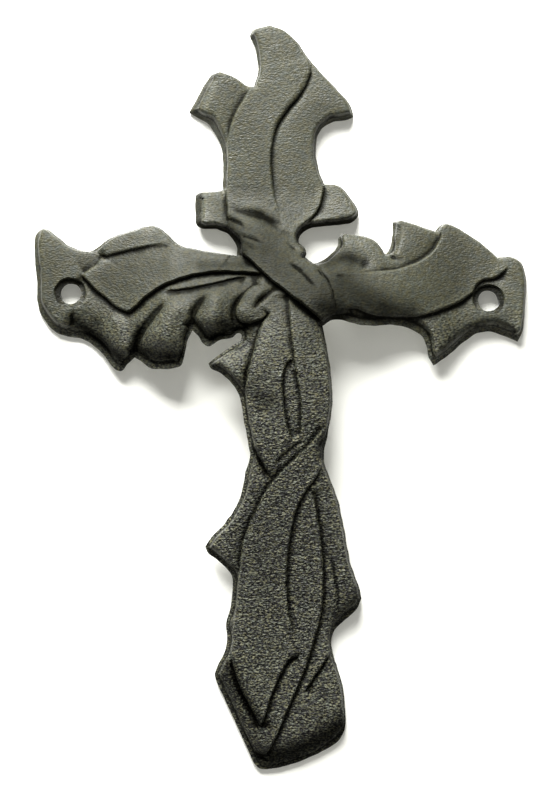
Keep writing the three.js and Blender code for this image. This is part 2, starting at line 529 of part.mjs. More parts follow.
function frontPoints() {
  const points = [...BOUNDARY];
  for (const x of [-HOLE_X, HOLE_X])
    for (const width of [DISH_WIDTH - DISH_WALL, DISH_WIDTH])
      addClear(points, ringAround(x, HOLE_RADIUS + width), 0.45);
  addClear(points, insideWall(0), 0.8);
  addClear(points, insideWall(ROUNDING_WIDTH), 0.7);
  for (const { path } of EDGES)
    addClear(points, besideTrack(track(curveThrough(path.map(sized), CREASE_STEP)), CREASE_OFFSET), 0.7);
  for (const { path } of GROOVES) addClear(points, curveThrough(path.map(sized), CREASE_STEP), 0.8);
  addClear(points, grid(FRONT_GRID), FRONT_GRID * 0.6);
  return points;
}

function backPoints() {
  const points = [...BOUNDARY];
  addClear(points, grid(BACK_GRID), BACK_GRID * 0.5);
  return points;
}

// The casting: a carved front, a plain bowed back and a narrow edge between them.
function castCross() {
  const positions = [];
  const faces = [];
  function skin(points, heightAt, facesFront) {
    const first = positions.length / 3;
    for (const [x, z] of points) positions.push(x, -heightAt(x, z), z);
    for (const [a, b, c] of delaunay(points)) {
      const middle = [0, 1].map((k) => (points[a][k] + points[b][k] + points[c][k]) / 3);
      if (!onMetal(...middle)) continue;
      const turn =
        (points[b][0] - points[a][0]) * (points[c][1] - points[a][1]) -
        (points[b][1] - points[a][1]) * (points[c][0] - points[a][0]);
      const counterClockwise = turn > 0 ? [a, b, c] : [a, c, b];
      const order = facesFront ? counterClockwise : [...counterClockwise].reverse();
      faces.push(...order.map((i) => first + i));
    }
    return first;
  }
  const front = skin(frontPoints(), (x, z) => backHeight(x, z) + thickness(x, z), true);
  const back = skin(backPoints(), backHeight, false);
  let start = 0;
  for (const ring of RINGS) {
    const area = ring.reduce((sum, [x, z], i) => {
      const [nx, nz] = ring[(i + 1) % ring.length];
      return sum + x * nz - nx * z;
    }, 0);
    const isOuter = ring === RINGS[0];
    const forward = area > 0 === isOuter;
    for (let i = 0; i < ring.length; i++) {
      const here = start + i;
      const there = start + ((i + 1) % ring.length);
      const [a, b] = forward ? [here, there] : [there, here];
      faces.push(front + a, back + a, back + b, front + a, back + b, front + b);
    }
    start += ring.length;
  }
  const geometry = new THREE.BufferGeometry();
  geometry.setAttribute("position", new THREE.Float32BufferAttribute(positions, 3));
  geometry.setIndex(faces);
  geometry.computeVertexNormals();
  return geometry;
}

const castIron = new THREE.MeshStandardMaterial({ color: 0x3c3830, roughness: 0.55, metalness: 0.35 });

const cross = new THREE.Mesh(castCross(), castIron);
cross.name = "cross";

const group = new THREE.Group();
group.add(cross);

export default group;
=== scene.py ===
"""The looks of a cast iron wall cross, for Blender 4.5.

The CAD frame carries the solid. This scene replaces it with a finer mesh of the same form, cast in
one piece: leaves and drapery wound round a cross that bows out from the wall between four flat pads.
Drawn sizes are in millimetres, in the frame's own axes: X to the right, Z up, the front towards -Y.
"""
import math

import bpy
import numpy as np
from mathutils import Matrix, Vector, noise
from mathutils.geometry import delaunay_2d_cdt


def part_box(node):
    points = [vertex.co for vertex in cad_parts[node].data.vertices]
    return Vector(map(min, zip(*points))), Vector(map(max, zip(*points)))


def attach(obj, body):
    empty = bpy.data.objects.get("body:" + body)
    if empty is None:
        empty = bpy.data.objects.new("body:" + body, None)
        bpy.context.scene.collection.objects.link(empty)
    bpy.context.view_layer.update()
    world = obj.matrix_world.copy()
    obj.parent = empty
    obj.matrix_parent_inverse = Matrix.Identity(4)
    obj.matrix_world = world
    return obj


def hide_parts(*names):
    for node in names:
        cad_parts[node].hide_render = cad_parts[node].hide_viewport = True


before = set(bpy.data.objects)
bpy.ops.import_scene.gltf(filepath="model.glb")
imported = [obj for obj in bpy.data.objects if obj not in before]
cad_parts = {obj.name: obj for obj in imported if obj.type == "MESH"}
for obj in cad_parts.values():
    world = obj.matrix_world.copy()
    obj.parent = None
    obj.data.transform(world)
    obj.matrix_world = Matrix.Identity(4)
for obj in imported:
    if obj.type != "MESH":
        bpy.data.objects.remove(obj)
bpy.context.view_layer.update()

MM = 0.001

# The cross as the frame holds it, in millimetres
LOW, HIGH = [np.array(corner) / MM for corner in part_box("cross")]
TOP_Z = HIGH[2]
FOOT_Z = LOW[2]

# Screw holes, each in a shallow dish
HOLE_INSET = 10.4
HOLE_X = (HIGH[0] - LOW[0]) / 2 - HOLE_INSET
HOLE_RADIUS = 2.9
HOLE_SIDES = 48
DISH_WIDTH = 1.6
DISH_WALL = 0.5
DISH_DEPTH = 0.7
DISH_TILT = 0.6

# Bow of the plate off the wall, and the flat pads that stay on it
BOW = 13
BOW_Z = -14
HOLE_PAD = 5
TOP_PAD = 44
FOOT_PAD = 33

# Section of the cast edge: a thin lip, a steep wall, a rounding and the crowned face
EDGE_THICKNESS = 1.2
LIP_SHARE = 0.55
LIP_RISE = 0.12
WALL_WIDTH = 0.35
WALL_DRAFT_BELOW = 0.95
WALL_DRAFT_LEFT = 1.15
WALL_DRAFT_RIGHT = 0.35
WALL_DRAFT_ARMS = 1.2
ARM_START = 12
ARM_BLEND = 8
WALL_DRAFT_TABS = 1.5
LEFT_SHARE_ABOVE = 0.4
TAB_START = 14
TAB_BLEND = 4
ROUNDING_WIDTH = 0.75
ROUNDING_DROP = 0.35
FACE_THICKNESS = 5
CROWN = 0.7
CROWN_REACH = 6
LEAST_THICKNESS = 2.2

# Carving of an overlapping leaf's edge
STEP_HALF_WIDTH = 0.4
HIGH_SIDE_REACH = 7
LOW_SIDE_REACH = 3
GROOVE_WIDTH = 0.75

# Sand grain of the casting, fine at the top and coarse on the lower stem, and the waver of its edges
GRAIN_SIZE = 0.4
FINE_GRAIN_SIZE = 0.2
FINE_GRAIN_SHARE = 0.5
GRAIN_DEPTH_TOP = 0.03
GRAIN_DEPTH_FOOT = 0.26
GRAIN_DEPTH_BACK = 0.2
GRAIN_TURNS_COARSE = (0, -50)
WAVER_SIZE = 2.2
WAVER = 0.16
WAVER_LAYERS = (0, 50)

# Smoothness of a drawn line between two of its points, and the step of the lines that the carving follows
CURVE_SAMPLES = 20
LINE_STEP = 1

# Spacing of the mesh, and its rows along the edges, as shares of the wall and the rounding
OUTLINE_STEP = 0.5
CREASE_STEP = 0.45
CREASE_ROWS = (0.08, 0.24, 0.42, 0.7)
WALL_ROWS = (0.47, 0.63, 0.82, 1)
ROUNDING_ROWS = (0.25, 0.6, 1)
ROW_KEPT = 0.93
ROW_GAP = 0.14
FRONT_GRID = 0.43
FRONT_GAP = 0.3
BACK_GRID = 1.1
BACK_GAP = 0.8

# Mesh settings
INSIDE_ONLY = 1
MERGE_DISTANCE = 1e-6
SHARP_ANGLE = math.radians(50)
# The relief that the material turns into painted shade in creases and a painted highlight on ridges; the
# lip is given a small fixed relief
RELIEF_ROUNDS = 12
RELIEF_FULL = 0.16
LIP_RELIEF = 0.2

# Colour and gloss of the iron. Sizes of patches and grain are in metres, and a pair of shades gives the
# darkest and the lightest.
IRON_COOL = (0.031, 0.034, 0.0255, 1)
IRON_WARM = (0.037, 0.0352, 0.0185, 1)
BLACK = (0, 0, 0, 1)
TINT_SIZE = 0.0012
CLOUD_SIZE = 0.012
CLOUD_SHADE = (0.85, 1.15)
IRON_SPECULAR = 0.25
GLOSS_PATCH_SIZE = 0.004
IRON_ROUGHNESS = (0.42, 0.62)
# Roughness added in the darker patches of painted shade and dirt, which dims their sheen as well
DARK_PATCH_ROUGHNESS = 0.35
# Painted highlight and wear on ridges, and painted shade and dirt in creases, as factors on the iron's
# colour and gloss
RIDGE_SHADE = 1.12
CREASE_SHADE = 0.2
# Painted shade: the iron darkens towards the foot, standing in for the light that falls off down the stem
FOOT_SHADE = 0.69
FOOT_DARKENS = (-0.06, 0)

# Specks and bumps of the grain, from the top of the cross to its foot
GRAIN_SQUASH = (0.75, 0.75, 1.3)
SPECK_SIZE = 0.0005
SPECK = (0.25, 3.5)
SPECK_LEAST = 0.08
BUMP_STRENGTH = 1
BUMP_DEPTH = 0.0016
COARSE_BUMP_SIZE = 0.0007
COARSE_BUMP = (0.1, 0.8)
FINE_BUMP_SIZE = 0.0005
FINE_BUMP = 0.12

# The part of a noise's range that is stretched over the whole of a change
NOISE_WIDE = (0.3, 0.7)
NOISE_NARROW = (0.35, 0.65)

# Stage, in metres
WALL_COLOUR = (0.86, 0.86, 0.8, 1)
WALL_ROUGHNESS = 0.9
# The wall glows faintly though it is no lamp: painted light that lightens the shadows cast on it and
# lights the cross a little
WALL_GLOW = 0.18
FLOOR_COLOUR = (0.75, 0.74, 0.71, 1)
FLOOR_ROUGHNESS = 0.8
WALL_GAP = 0.0002
WALL_HALF_WIDTH = 1.5
WALL_TOP = 1.5
FLOOR_Z = -1.1

# Lights, all aimed at one point
AIM = (0, 0, -0.03)
KEY_PLACE = (-0.11, -0.31, 0.44)
KEY_SIZE = (0.32, 0.32)
KEY_WATTS = 14.4
FILL_PLACE = (0, -1.4, 0.3)
FILL_SIZE = (1.2, 1.2)
FILL_WATTS = 2.6
BEHIND_PLACE = (-0.2, 0.9, 0.5)
BEHIND_SIZE = (0.6, 0.6)
BEHIND_WATTS = 22
WORLD_COLOUR = (1, 1, 0.97, 1)
WORLD_STRENGTH = 0.05

# Camera: the photograph's scale and place on the wall plane, and its turn
SENSOR = 36
CAMERA_DISTANCE = 0.6
VIEW_HEIGHT = 0.2192
VIEW_X = -0.00076
VIEW_Z = -0.028
CAMERA_ROLL = math.radians(0.967)

# The silhouette, clockwise from the tip of the top hook. Each stretch is a smooth curve through its
# points and ends in a corner at the first point of the next stretch.
SILHOUETTE = [
    # top hook and the spur on its right
    [(-9.2, 71.4), (-8.2, 73.1), (-4, 74.1), (0, 73.1), (3.2, 70.6), (7.3, 65.2), (13, 59.1), (18, 53.8),
     (19.3, 51.6)],
    [(19.4, 49.8), (17.4, 49), (14, 48.4), (11, 46.6), (9.6, 43.5), (9.4, 40), (10, 36)],
    # right tab, neck and knot
    [(11.8, 31.2), (15.2, 31.1), (17.2, 29.8), (20.4, 25.7), (21.3, 23.3), (20.3, 21.3), (17, 20.2),
     (12.5, 19.6), (8.5, 19), (6.1, 17.7), (5.1, 15.8)],
    [(5.2, 14.7), (6.8, 13.3), (7.2, 11.8)],
    [(6.9, 10.9), (9.3, 9.1), (12.5, 10.6), (15.6, 13.9)],
    # leaves along the top of the right arm
    [(15.9, 16.2), (16.9, 17.5), (20, 17.3), (24, 16.6), (26.4, 15.4), (27.8, 13.5), (28.7, 12.3),
     (29.6, 13.1), (30.5, 16.5), (30.8, 18.6)],
    [(30.6, 21.1), (32.6, 21.6), (36, 20.9), (40.8, 19.3)],
    [(42.3, 18.9), (43.4, 20.3), (45, 21), (48, 20.1), (53, 17.2), (57, 14.3)],
    # end of the right arm
    [(59.4, 12.1), (63.4, 12.2), (66, 10.7), (67.3, 7.4), (67.4, 0), (66.6, -8.5)],
    [(65.5, -10.9), (62, -9.5), (58.5, -8.3), (55, -8.6), (51.5, -10.6), (47, -14.6), (43.4, -17.2)],
    [(42.4, -17.8), (41.1, -15.8), (40.2, -12), (38.7, -9.7), (35, -7.8), (30, -7.1), (26, -7.5),
     (21.5, -7.3), (17, -6.2), (14, -6.4)],
    # right side of the stem and the foot
    [(11.8, -7.9), (13, -13.5), (14.3, -21), (14.8, -29), (13.8, -36.5), (12.8, -43.5), (15.2, -50.5),
     (17.1, -55.5), (19, -64), (20.7, -72), (23.4, -79.3)],
    [(23.9, -81.7), (22.6, -84.8), (18.8, -88.4), (16.5, -91), (15.9, -94.5), (17, -99), (19, -105),
     (20, -112), (20, -117.5), (18.2, -121), (14, -123.8), (7, -127), (0, -128.8), (-3.2, -128.8)],
    # left side of the stem, upwards
    [(-4.5, -127.6), (-7.5, -121.5), (-11.5, -113), (-15.3, -105.2)],
    [(-15.9, -103.2), (-14.8, -100.2), (-13.4, -97.6), (-12.6, -93), (-13, -89.2), (-11.8, -85),
     (-11.3, -79), (-11.5, -76), (-13, -74), (-16, -71.5), (-18.2, -69.8)],
    [(-18.9, -68.2), (-17.5, -65.9), (-13.8, -61.8), (-10.8, -57.2), (-9.2, -53), (-8.3, -48),
     (-7.1, -43.2), (-7.7, -39), (-9, -33), (-10.2, -27), (-12.7, -23.2), (-15.5, -21), (-18, -19.8)],
    [(-18.7, -18.4), (-16, -16.3), (-12, -13.4)],
    [(-10, -12.2), (-10, -10.6), (-10.9, -10.2), (-12.4, -11.5), (-15.5, -12.1), (-17.3, -13.3),
     (-18.9, -13.9), (-20.2, -13.1), (-21.6, -11)],
    # folds under the left arm
    [(-23.1, -9.6), (-24.4, -12.3), (-25.2, -16.5), (-26.3, -19.3), (-28.5, -19.9), (-34.6, -19.9),
     (-37, -18)],
    [(-39, -17.1), (-41, -18.9), (-42.6, -20.8), (-44.4, -20.3), (-48.5, -15.6), (-53, -12.4),
     (-57.5, -11.5), (-61, -10.4), (-64, -7.2), (-65.8, -3.4), (-66.2, 3), (-67.1, 13.2), (-66.5, 16.5),
     (-64.6, 17.8), (-62.3, 16.8), (-58, 13.5), (-54, 11.9), (-51.4, 11.9)],
    # top of the left arm
    [(-50, 12.8), (-46, 15.7), (-40, 17.8), (-36.5, 18.8), (-33.6, 18.8), (-31, 17.1), (-27.6, 14),
     (-24, 12.9), (-17, 11.6)],
    # neck, left tabs and the left side of the hook
    [(-11.6, 10.9), (-11.7, 13.4), (-14, 16.8), (-17, 18.2), (-21, 18.4), (-22.8, 19.4), (-23.2, 23)],
    [(-23.3, 27.4), (-22.3, 28.3), (-19, 28.6)],
    [(-15.9, 29.2), (-15.9, 36), (-16.5, 40.8), (-18.6, 45), (-20.3, 47.4), (-23.5, 49.1)],
    [(-25.3, 50.3), (-21, 58.5), (-19.4, 60.7), (-17, 61.3), (-13, 60), (-10, 57.9)],
    [(-7.9, 57.5), (-6.8, 61.5), (-7, 65), (-8, 69)],
]

# Edges of overlapping leaves. The higher side is on the left of the direction of travel. rise and
# drop are the heights either side of the edge, and fade is how gently each end runs out.
EDGES = [
    # hook and tabs
    dict(rise=0.3, drop=0.7, fade=(20, 3), path=[(0.9, 19.4), (-0.4, 23.1), (-1.8, 27.5), (-2.6, 33.2),
         (-2.9, 38.2), (-2.5, 42), (-1.1, 46.5), (1.6, 50.9), (5.1, 55.4), (7, 59.2), (7.4, 62.7),
         (6.7, 66.5)]),
    dict(rise=0.25, drop=0.8, fade=(0, 1), path=[(-8.6, 57.6), (-10.4, 53.9), (-12.2, 50.7),
         (-13.8, 46.9), (-14.5, 43.1), (-14.6, 38), (-14.7, 33), (-15, 29.2), (-14.6, 25.4),
         (-14.1, 21), (-13.8, 17.6)]),
    dict(rise=0.3, drop=1.1, fade=(1, 0), path=[(4.1, 16.3), (5.3, 18.8), (8.1, 21.1), (10.3, 24),
         (11.4, 27.8), (11.9, 32)]),
    # knotted band over the crossing
    dict(rise=0.7, drop=1.9, fade=(1, 0), path=[(-12.2, 12.8), (-9.8, 10.9), (-7, 8.5), (-4.3, 6),
         (-1.7, 3.7), (2.1, 0.8), (4.9, -1.3), (7.8, -3.6), (11.6, -6.5), (12.9, -7.7)]),
    dict(rise=0.5, drop=0.8, fade=(0, 1), path=[(15.3, -7), (14.9, -3), (13.6, 2.4), (11.8, 5.8),
         (9, 9.4)]),
    # right arm
    dict(rise=0.4, drop=1.3, fade=(2, 4), path=[(17.2, -3.2), (21, -3.1), (24, -4.2), (28, -5),
         (34, -5), (38.5, -4.5), (42, -3.5), (46, -1.9), (50, 0), (52.5, 2), (53.4, 3.8), (55.6, 5.6),
         (58.5, 6.1), (60.5, 7.5), (62.6, 9.6)]),
    dict(rise=0.3, drop=1, fade=(0, 16), path=[(43.6, 21), (43.7, 17.5), (42, 13.9), (39.7, 11.5),
         (36.5, 9.6), (32.6, 8.2), (28.6, 7.3), (23.9, 6.9), (19.9, 6.4), (15, 6.2)]),
    # left arm
    dict(rise=0.5, drop=1.4, fade=(2, 2), path=[(-54.2, 5.4), (-52.1, 3.4), (-50.2, 1.5), (-47.3, -0.9),
         (-43.8, -3.6), (-40.7, -4.7), (-38.7, -3.4), (-35.4, -0.4), (-31.8, 2), (-28, 3.7), (-23, 5.2),
         (-17, 6.1), (-10, 6.1), (-4, 5.7)]),
    dict(rise=0.2, drop=0.9, fade=(3, 2), path=[(-31.5, 0.9), (-27, 1.2), (-22, 2), (-17, 3.2),
         (-12, 4.5), (-8.5, 5.1)]),
    dict(rise=0.3, drop=0.6, fade=(0, 10), path=[(-50.8, 13.6), (-48.2, 10.4), (-44.8, 11.1),
         (-41.6, 11.8), (-36.9, 12.8), (-33, 13.6), (-28, 13.9)]),
    dict(rise=0.3, drop=0.5, fade=(1, 1), path=[(-48.2, 10.4), (-49.6, 8.2), (-52, 6.3), (-53.6, 5.2)]),
    dict(rise=0.4, drop=1.2, fade=(2, 3), path=[(-4.8, 3.4), (-7.1, 2.3), (-8.7, 0.9), (-10.4, -1.5),
         (-11.4, -3.9), (-11.3, -5.9), (-10, -7.3), (-7.9, -7.6), (-5.3, -6.9), (-3, -5.4),
         (-1.8, -4)]),
    # upper stem
    dict(rise=0.4, drop=1.2, fade=(1, 3), path=[(-2, -4.4), (-4.2, -7.5), (-5.6, -10.9), (-6.6, -15.2),
         (-7.7, -19.4), (-8.4, -23.6), (-8.4, -27.8), (-7.6, -33.3), (-6.4, -39), (-4.8, -42.9),
         (-2.9, -46.4), (-1.2, -49.2)]),
    dict(rise=0.2, drop=0.9, fade=(1, 2), path=[(2.4, 0.6), (3, -6.6), (3.6, -11.4), (4.4, -16.8),
         (5.1, -21.6), (5.9, -25.8), (6.4, -29.4), (6.5, -33), (6.4, -38)]),
    dict(rise=0.2, drop=0.9, fade=(2, 1), path=[(4.6, -39.5), (3.5, -37), (2.5, -33.7), (1.8, -29.5),
         (1.4, -25.9), (1.4, -22.3), (1.9, -19.2), (2.9, -17.5), (4.3, -17.4)]),
    # lower stem
    dict(rise=0.5, drop=1.1, fade=(3, 2), path=[(13.6, -34.4), (12, -35.9), (8.4, -40.2), (5.2, -43.5),
         (2.2, -46.4), (-1.2, -50.4), (-3.6, -54.3), (-5.4, -58.3), (-7.4, -62.8), (-8.8, -68),
         (-9.4, -74), (-10, -80), (-10.6, -86), (-11.1, -92), (-11.2, -97.6), (-10.5, -101.5),
         (-9.3, -105.4), (-6.9, -110), (-4.5, -114.3), (-3, -117.2)]),
    dict(rise=0.4, drop=1.1, fade=(1, 1), path=[(-3, -117.2), (-1.3, -112.2), (-0.2, -108.3),
         (1.3, -104.5), (2.9, -101), (4.6, -98.6), (7.1, -97.2)]),
    dict(rise=0.3, drop=0.9, fade=(14, 0), path=[(7.4, -95.4), (6.6, -93.6), (5, -89.8), (4.1, -86),
         (3.6, -81.4), (3.3, -76.8), (3.4, -71.4), (3.9, -66.1), (4.8, -60.7), (6.1, -56), (7.5, -53),
         (9.1, -50.7), (11, -48), (12.5, -44.4)]),
    dict(rise=0.3, drop=1, fade=(2, 2), path=[(-2, -125), (-0.3, -122.6), (1.7, -118.6), (3.5, -114),
         (5.4, -109.2), (7.6, -104), (9.5, -98.8), (11, -93.6), (12.4, -88), (13.2, -82), (13.3, -76.6),
         (13, -70.5), (12.3, -65.1), (11.4, -59.8), (10.6, -55.4), (9.4, -51.4)]),
    dict(rise=0.3, drop=1.1, fade=(3, 0), path=[(8.2, -108.2), (11, -103.6), (13.6, -99.7),
         (16, -95.4)]),
]

# Grooves, with their depths from one end to the other.
GROOVES = [
    dict(depth=(0, 1.2, 2, 2.4), width=1.5, path=[(-28.5, -0.4), (-32, -3.8), (-35.5, -8.2),
         (-38, -12.4), (-39.1, -17.6)]),
    dict(depth=(0, 1.2, 2, 2.4), width=1.4, path=[(-18.8, 0.2), (-21.3, -2.4), (-22.8, -5.6),
         (-23.1, -10)]),
    dict(depth=(0, 1, 1.4, 1.3, 0.9, 0), width=1.2, path=[(-8.9, 0.4), (-11, -1.8), (-12.1, -4.2),
         (-12, -6.4), (-10.6, -8.2), (-8, -8.6)]),
    dict(depth=(0.3, 0.9, 1.3, 0), width=1, path=[(-0.5, 2.1), (-3.1, 0.2), (-5.4, -2), (-6.9, -4.1)]),
    dict(depth=(0.3, 0.5, 0.9, 1, 0.6, 0), width=1.8, path=[(-13.8, 23.6), (-10, 22.8), (-6.7, 22.2),
         (-4.4, 21.3), (-2, 20.1), (0.2, 18.7)]),
    dict(depth=(0.9, 0.9, 0.5, 0), width=0.9, path=[(-13.7, 20.8), (-12.1, 20.1), (-10.5, 19.3),
         (-9.6, 17.8)]),
    dict(depth=(0.5, 0.8, 0.4, 0), width=0.9, path=[(-11.4, 16.3), (-9, 15.6), (-7.1, 15.1),
         (-3.4, 13.6)]),
    dict(depth=(0.9, 0.9, 0.4, 0), width=1, path=[(-11.6, 15.2), (-8.7, 13.4), (-5.6, 12)]),
    dict(depth=(0, 0.7, 0.6, 0.5, 0), width=0.9, path=[(2.2, 8.9), (4.3, 7.7), (6.2, 6), (8.4, 3.6),
         (10.4, 2)]),
    dict(depth=(0, 0.6, 0.4, 0), width=0.8, path=[(9, 8.4), (11.6, 5.6), (13.7, 3.2)]),
    dict(depth=(0, 0.4, 0), width=1, path=[(1.6, 14.8), (3.7, 13), (5.9, 11.1)]),
    dict(depth=(0, 1.1, 1.3, 1), width=1.2, path=[(1.6, 0.2), (4.4, -1.9), (7.3, -4.2), (11.1, -6.9)]),
    dict(depth=(0.7, 0.6, 0), width=0.9, path=[(28.8, 12.4), (30.5, 11), (34, 10.5)]),
    dict(depth=(0.9, 0.8), width=1, path=[(-50.2, 12.9), (-47.9, 10.4)]),
    dict(depth=(0, 0.6, 0.8, 0.4, 0.4, 1.1, 1.2, 0), width=1, path=[(-6, -11), (-7.8, -18), (-8.7, -25),
         (-8, -32.6), (-6.8, -39), (-4.6, -44), (-2.2, -48.2)]),
    dict(depth=(0.6, 1.6, 0.8), width=1.6, path=[(13.4, -36.8), (12.4, -39.6), (12.5, -43)]),
    dict(depth=(0.6, 0.8, 0.8), width=0.9, path=[(32.4, 18.9), (31.7, 15.3), (30.6, 11.3)]),
    dict(depth=(0, 0.4, 0.4, 0), width=0.8, path=[(9.4, -36.2), (6.6, -38.8), (1.7, -43), (-2, -47.6)]),
    dict(depth=(0.3, 1.2, 1.5, 1), width=1.5, path=[(-11.4, -100.2), (-9.9, -105.2), (-7.4, -110.2),
         (-4, -116.4)]),
    dict(depth=(0.4, 0.9, 0.5), width=1.2, path=[(4, -99.6), (5.2, -98), (7.2, -97)]),
    dict(depth=(0, 0.5, 0.5, 0), width=0.9, path=[(13.7, -68.4), (15.5, -71.4), (16.7, -76.6),
         (17.4, -82), (17.2, -87.5)]),
    dict(depth=(0, 0.5, 0.6, 0.5, 0.3), width=0.9, path=[(-2.8, 41), (-1.1, 46.5), (1.6, 50.9),
         (5.1, 55.4), (7.1, 60)]),
    dict(depth=(0, 0.8, 0.8), width=0.8, path=[(-55.2, -4.6), (-56.4, -6.2), (-56.2, -8.2)]),
]

# Broad swellings, and hollows where the height is negative.
SWELLS = [
    # knot: the band stands high over the crossing
    dict(height=2.2, width=7, path=[(-7, 14.5), (0, 9.5), (7, 3.5), (11.5, -1.5)]),
    # folds of the cloth under the left arm, which roll down at their lower ends
    dict(height=2, width=3.6, path=[(-28.5, -4), (-31.5, -11)]),
    dict(height=-3.4, width=5.2, path=[(-26.5, -20.5), (-36, -20.5)]),
    dict(height=1.8, width=3.2, path=[(-17, -1.5), (-18, -6.5)]),
    dict(height=-3.6, width=4.4, path=[(-11, -11.5), (-20, -14)]),
    dict(height=0.7, width=2.6, path=[(-5, 0.5), (-8.5, -4.5)]),
    dict(height=1.2, width=3, path=[(-44, -8), (-42.5, -14)]),
    dict(height=-1.8, width=2.8, path=[(-43.5, -20), (-49, -13.6), (-56, -10.4)]),
    dict(height=-0.6, width=2.4, path=[(-54, -7), (-50, -8)]),
    # right arm: its band rolls down at the lower edge, and the first leaf is hollow at its root
    dict(height=-2.6, width=5, path=[(17, -6), (26, -7), (35, -7.5)]),
    dict(height=-0.9, width=2.4, path=[(13, 9.9), (17.6, 11), (22.5, 9.4)]),
    # stem and foot
    dict(height=-0.5, width=3.5, path=[(-7, -25), (-5, -30)]),
    dict(height=-1.3, width=3.6, path=[(23, -86), (18, -89)]),
    dict(height=-2.6, width=3.2, path=[(-16, -106), (-10.5, -117), (-5, -127)]),
    dict(height=-2.9, width=4.6, path=[(-3, -129), (8, -126.6), (19, -121)]),
]

# Patches of painted shade in creases, under folds, on walls that face down and over the knot, with some
# dirt, and painted highlights on ridges and the lit sides of the dishes, where the shade is over 1.
LIGHT_AND_DIRT_PATCHES = [
    dict(shade=0.45, width=2, path=[(-13.6, 20), (-11.6, 15.5), (-10, 12)]),
    dict(shade=0.5, width=1.8, path=[(-6, 22), (-2.4, 20.3)]),
    dict(shade=0.42, width=8.5, path=[(-7, 14.5), (11.5, -1.5)]),
    dict(shade=0.4, width=2.6, path=[(11.4, -3), (16, -4.6)]),
    dict(shade=0.45, width=2.6, path=[(12.6, 9.4), (16, 10.6), (19.5, 10)]),
    dict(shade=0.36, width=5.4, path=[(17, 4), (21.6, 0.9), (26.5, -2.5)]),
    dict(shade=0.5, width=1.8, path=[(28.8, -2.6), (36, -4)]),
    dict(shade=0.4, width=1, path=[(44.5, -13.2), (46.4, -11.2), (49.5, -8.2), (54.2, -5.9), (57.4, -4.9),
         (60.6, -5.6), (64.6, -8)]),
    dict(shade=0.88, width=4, path=[(54, -1), (63, -3)]),
    dict(shade=0.76, width=9, path=[(-45, 5), (-20, 11)]),
    dict(shade=0.88, width=5, path=[(-62, 9), (-62, -2)]),
    dict(shade=0.6, width=1.8, path=[(-21, 7.6), (-8.2, 8.1)]),
    dict(shade=0.7, width=5, path=[(-22, 0), (-15, 1), (-8, -1)]),
    dict(shade=0.12, width=2.1, path=[(-55.6, -7.4), (-52.3, -9.3), (-49.1, -11.8), (-45.9, -14.7),
         (-43.1, -17.1)]),
    dict(shade=0.35, width=2, path=[(-37.6, -9.6), (-39.2, -15)]),
    dict(shade=0.22, width=2.5, path=[(-37, -15.4), (-31.6, -17), (-26.1, -16.4)]),
    dict(shade=0.22, width=2.1, path=[(-20.8, -10.6), (-15.8, -11.4), (-11.1, -9.4)]),
    dict(shade=0.35, width=1.6, path=[(-14.7, -7.4), (-11.4, -8.6), (-7.2, -8.3)]),
    dict(shade=0.55, width=2.2, path=[(-7.5, -25.7), (-4.4, -27.2), (-1.4, -28.3)]),
    dict(shade=0.45, width=1, path=[(-17.9, -18.1), (-14.2, -20.1), (-11.5, -22.2), (-9.6, -24.2)]),
    dict(shade=0.4, width=1.8, path=[(13.5, -36.5), (12.2, -39), (12.6, -42.6)]),
    dict(shade=0.3, width=1.1, path=[(-5.6, -41.5), (-4, -44.6), (-2, -48)]),
    dict(shade=0.45, width=1, path=[(-17.9, -68.3), (-14.4, -71.4), (-10.6, -74)]),
    dict(shade=0.45, width=3, path=[(18.4, -85.8), (21.1, -83.4), (22.9, -81.5)]),
    dict(shade=0.25, width=2, path=[(-11.2, -100.1), (-9.5, -105.4), (-7, -110.2), (-3, -116.4)]),
    dict(shade=0.6, width=3, path=[(-13.6, -104), (-9, -113), (-5, -122)]),
    dict(shade=0.18, width=3.4, path=[(-1.5, -125.8), (5.6, -123.8), (12.5, -120.6), (18.9, -116)]),
    dict(shade=0.6, width=1.3, path=[(-23.8, 50.8), (-21.4, 55.6), (-18.9, 60.1)]),
    dict(shade=0.5, width=1.3, path=[(-22.4, 27.8), (-22.3, 20)]),
    dict(shade=0.4, width=0.9, path=[(-22.6, 18.8), (-16, 17.4), (-13.2, 15.6)]),
    dict(shade=0.5, width=0.9, path=[(6, 18.6), (12, 20), (19, 21.2)]),
    dict(shade=1.45, width=0.8, path=[(-21, 50.8), (-18.2, 58)]),
    dict(shade=1.45, width=0.6, path=[(-20.8, 27.4), (-20.7, 20)]),
    dict(shade=1.5, width=0.5, path=[(17.3, -4.8), (20.1, -3.5), (24.1, -4.2), (26.1, -5.2)]),
    dict(shade=1.35, width=0.6, path=[(-52.6, 5.4), (-48.7, 7.8), (-46.3, 9.5)]),
    dict(shade=1.4, width=4.5, path=[(62.5, 9), (65, 0), (65.5, -8)]),
    dict(shade=1.5, width=0.8, path=[(53.7, 1.3), (53.9, -1.6), (55.7, -3.1), (57.5, -3.3)]),
    dict(shade=1.5, width=0.8, path=[(-57.5, -3.3), (-55.2, -2.8), (-53.7, -1.1), (-53.7, 1.3)]),
]


# Curves and distances


